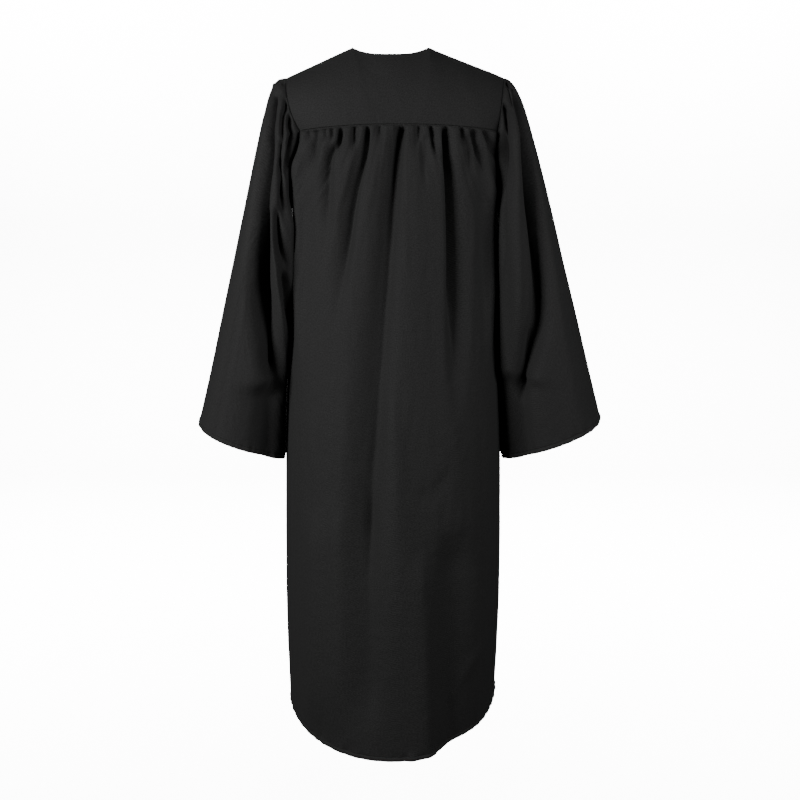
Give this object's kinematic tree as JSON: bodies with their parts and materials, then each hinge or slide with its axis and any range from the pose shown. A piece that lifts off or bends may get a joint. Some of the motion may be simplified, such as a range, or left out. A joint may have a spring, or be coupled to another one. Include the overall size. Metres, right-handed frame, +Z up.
{
  "type": "choir robe",
  "caption": "Full-length black choir robe in worn form with no wearer: deep back yoke, gathered back panel, wide bell sleeves, V neck and front zip.",
  "frame": {"origin": "midway between the two neck points, where the wearer's shoulders carry the robe", "axes": "+Z up, -Y the front with the zip, +Y the back with the gathered panel, +X the wearer's left"},
  "size_m": [0.7921, 0.465, 1.3112],
  "materials": {
    "gown_cloth": "matte polyester twill",
    "zip_tape": "woven tape",
    "zip_metal": "black enamel"
  },
  "bodies": {
    "robe": {"back_yoke": "gown_cloth", "front_yoke_left": "gown_cloth", "front_yoke_right": "gown_cloth", "back_panel": "gown_cloth", "front_panel_left": "gown_cloth", "front_panel_right": "gown_cloth", "sleeve_left_upper": "gown_cloth", "sleeve_left_bell": "gown_cloth", "sleeve_right_upper": "gown_cloth", "sleeve_right_bell": "gown_cloth", "zip_tape_left": "zip_tape", "zip_tape_right": "zip_tape", "zip_slider": "zip_metal"},
    "pull_tab": {"pull_tab": "zip_metal"}
  },
  "joints": [
    {"name": "pull_tab_swing", "type": "hinge", "parent": "robe", "child": "pull_tab", "pos_m": [0, -0.11793, -0.1747], "axis": [-1, 0, 0], "range_deg": [0, 170]}
  ]
}
